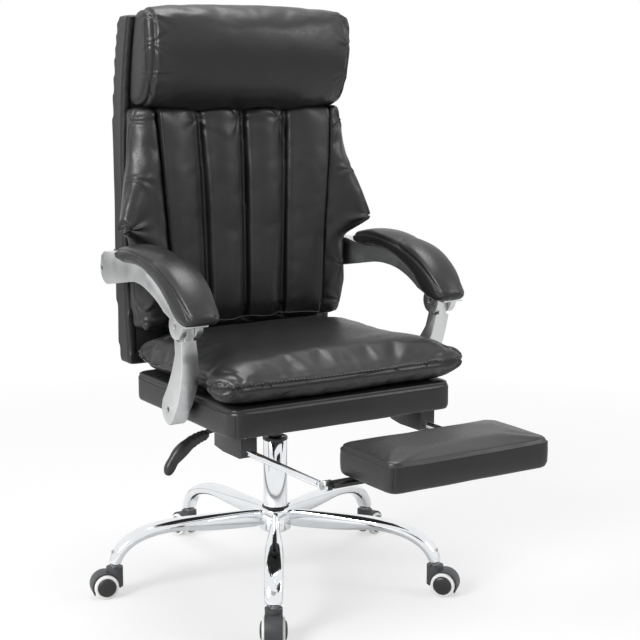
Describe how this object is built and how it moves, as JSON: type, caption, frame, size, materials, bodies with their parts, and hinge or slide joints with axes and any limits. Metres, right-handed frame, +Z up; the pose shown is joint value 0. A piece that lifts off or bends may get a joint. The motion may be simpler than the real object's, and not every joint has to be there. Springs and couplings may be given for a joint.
{
  "type": "reclining office chair with footrest",
  "caption": "High-backed padded office chair on a chromed star base, with linked silver armrests, a reclining back and a footrest that slides and flips out from under the seat.",
  "frame": {"origin": "on the floor, on the axis of the column", "axes": "+Z up, the chair faces -Y, +X is the sitter's left"},
  "size_m": [0.7553, 1.0625, 1.19],
  "materials": {
    "leather": "satin",
    "chrome": "polished",
    "silver_arm": "satin",
    "black_steel": "satin",
    "zinc_steel": "satin",
    "plywood": "matte",
    "black_plastic": "satin",
    "hood_plastic": "matte",
    "white_nylon": "satin"
  },
  "bodies": {
    "base": {"base_star": "chrome", "column_tube": "chrome", "column_collar": "black_plastic", "thrust_bearing": "zinc_steel"},
    "column_rod": {"piston_rod": "zinc_steel"},
    "seat": {"gas_cylinder": "black_steel", "seat_mechanism": "black_steel", "mechanism_bolts": "zinc_steel", "seat_frame": "plywood", "seat_base_pad": "leather", "seat_cushion": "leather", "rod_guides": "black_plastic", "seat_hinges": "black_steel", "seat_pins": "zinc_steel", "front_arm_bolts": "zinc_steel"},
    "lever": {"lever_bar": "black_steel", "lever_paddle": "black_plastic"},
    "valve": {"valve_pin": "zinc_steel"},
    "back": {"back_board": "plywood", "back_shell": "leather", "back_cushion": "leather", "side_wing_right": "leather", "side_wing_left": "leather", "headrest": "leather", "back_hinges": "black_steel", "arm_brackets": "black_steel", "rear_arm_bolts": "zinc_steel"},
    "footrest_slide": {"footrest_rods": "chrome", "footrest_pins": "zinc_steel"},
    "footrest": {"footrest_frame": "black_steel", "footrest_board": "plywood", "footrest_pad": "leather"},
    "arm_beam_right": {"arm_beam_right": "silver_arm", "arm_pad_right": "leather", "knuckle_pin_right": "zinc_steel"},
    "arm_link_right": {"arm_link_right": "silver_arm"},
    "arm_beam_left": {"arm_beam_left": "silver_arm", "arm_pad_left": "leather", "knuckle_pin_left": "zinc_steel"},
    "arm_link_left": {"arm_link_left": "silver_arm"},
    "caster_1": {"caster_1_hood": "hood_plastic", "caster_1_stem": "zinc_steel"},
    "wheels_1": {"caster_1_wheels": "white_nylon", "caster_1_hub": "black_plastic"},
    "caster_2": {"caster_2_hood": "hood_plastic", "caster_2_stem": "zinc_steel"},
    "wheels_2": {"caster_2_wheels": "white_nylon", "caster_2_hub": "black_plastic"},
    "caster_3": {"caster_3_hood": "hood_plastic", "caster_3_stem": "zinc_steel"},
    "wheels_3": {"caster_3_wheels": "white_nylon", "caster_3_hub": "black_plastic"},
    "caster_4": {"caster_4_hood": "hood_plastic", "caster_4_stem": "zinc_steel"},
    "wheels_4": {"caster_4_wheels": "white_nylon", "caster_4_hub": "black_plastic"},
    "caster_5": {"caster_5_hood": "hood_plastic", "caster_5_stem": "zinc_steel"},
    "wheels_5": {"caster_5_wheels": "white_nylon", "caster_5_hub": "black_plastic"}
  },
  "joints": [
    {"name": "swivel", "type": "hinge", "parent": "base", "child": "column_rod", "pos_m": [0, 0, 0.1], "axis": [0, 0, 1], "continuous": true},
    {"name": "gas_lift", "type": "slide", "parent": "column_rod", "child": "seat", "axis": [0, 0, 1], "range_m": [0, 0.08]},
    {"name": "lever", "type": "hinge", "parent": "seat", "child": "lever", "pos_m": [-0.048, 0, 0.352], "axis": [0, 1, 0], "range_deg": [0, 6], "stiffness_Nm_per_rad": 1, "springref_deg": -2.86},
    {"name": "valve", "type": "slide", "parent": "seat", "child": "valve", "axis": [0, 0, -1], "range_m": [0, 0.0056]},
    {"name": "recline", "type": "hinge", "parent": "seat", "child": "back", "pos_m": [0, 0.16, 0.43], "axis": [-1, 0, 0], "range_deg": [0, 35]},
    {"name": "footrest_slide", "type": "slide", "parent": "seat", "child": "footrest_slide", "axis": [0, 1, 0], "range_m": [0, 0.215]},
    {"name": "footrest_fold", "type": "hinge", "parent": "footrest_slide", "child": "footrest", "pos_m": [0, -0.515, 0.357], "axis": [-1, 0, 0], "range_deg": [0, 180]},
    {"name": "arm_beam_right", "type": "hinge", "parent": "back", "child": "arm_beam_right", "pos_m": [-0.27, 0.2, 0.658], "axis": [-1, 0, 0], "range_deg": [-23.7, 0]},
    {"name": "arm_link_right", "type": "hinge", "parent": "seat", "child": "arm_link_right", "pos_m": [-0.278, -0.099, 0.42], "axis": [-1, 0, 0], "range_deg": [0, 37.5]},
    {"name": "arm_beam_left", "type": "hinge", "parent": "back", "child": "arm_beam_left", "pos_m": [0.27, 0.2, 0.658], "axis": [-1, 0, 0], "range_deg": [-23.7, 0]},
    {"name": "arm_link_left", "type": "hinge", "parent": "seat", "child": "arm_link_left", "pos_m": [0.278, -0.099, 0.42], "axis": [-1, 0, 0], "range_deg": [0, 37.5]},
    {"name": "caster_1_swivel", "type": "hinge", "parent": "base", "child": "caster_1", "pos_m": [-0.17717, -0.29487, 0.065], "axis": [0, 0, 1], "continuous": true},
    {"name": "caster_1_roll", "type": "hinge", "parent": "caster_1", "child": "wheels_1", "pos_m": [-0.18747, -0.31201, 0.025], "axis": [0.8572, -0.515, 0], "continuous": true},
    {"name": "caster_2_swivel", "type": "hinge", "parent": "base", "child": "caster_2", "pos_m": [0.22568, -0.25962, 0.065], "axis": [0, 0, 1], "continuous": true},
    {"name": "caster_2_roll", "type": "hinge", "parent": "caster_2", "child": "wheels_2", "pos_m": [0.2388, -0.27471, 0.025], "axis": [0.7547, 0.6561, 0], "continuous": true},
    {"name": "caster_3_swivel", "type": "hinge", "parent": "base", "child": "caster_3", "pos_m": [0.31665, 0.13441, 0.065], "axis": [0, 0, 1], "continuous": true},
    {"name": "caster_3_roll", "type": "hinge", "parent": "caster_3", "child": "wheels_3", "pos_m": [0.33506, 0.14223, 0.025], "axis": [-0.3907, 0.9205, 0], "continuous": true},
    {"name": "caster_4_swivel", "type": "hinge", "parent": "base", "child": "caster_4", "pos_m": [-0.02998, 0.34269, 0.065], "axis": [0, 0, 1], "continuous": true},
    {"name": "caster_4_roll", "type": "hinge", "parent": "caster_4", "child": "wheels_4", "pos_m": [-0.03173, 0.36262, 0.025], "axis": [-0.9962, -0.0872, 0], "continuous": true},
    {"name": "caster_5_swivel", "type": "hinge", "parent": "base", "child": "caster_5", "pos_m": [-0.33518, 0.07738, 0.065], "axis": [0, 0, 1], "continuous": true},
    {"name": "caster_5_roll", "type": "hinge", "parent": "caster_5", "child": "wheels_5", "pos_m": [-0.35467, 0.08188, 0.025], "axis": [-0.225, -0.9744, 0], "continuous": true}
  ],
  "couplings": [
    {"joint": "valve", "follows": "lever", "m_per_rad": 0.052},
    {"joint": "arm_beam_right", "follows": "recline", "ratio": -0.673},
    {"joint": "arm_link_right", "follows": "recline", "ratio": 1.067},
    {"joint": "arm_beam_left", "follows": "recline", "ratio": -0.673},
    {"joint": "arm_link_left", "follows": "recline", "ratio": 1.067}
  ]
}
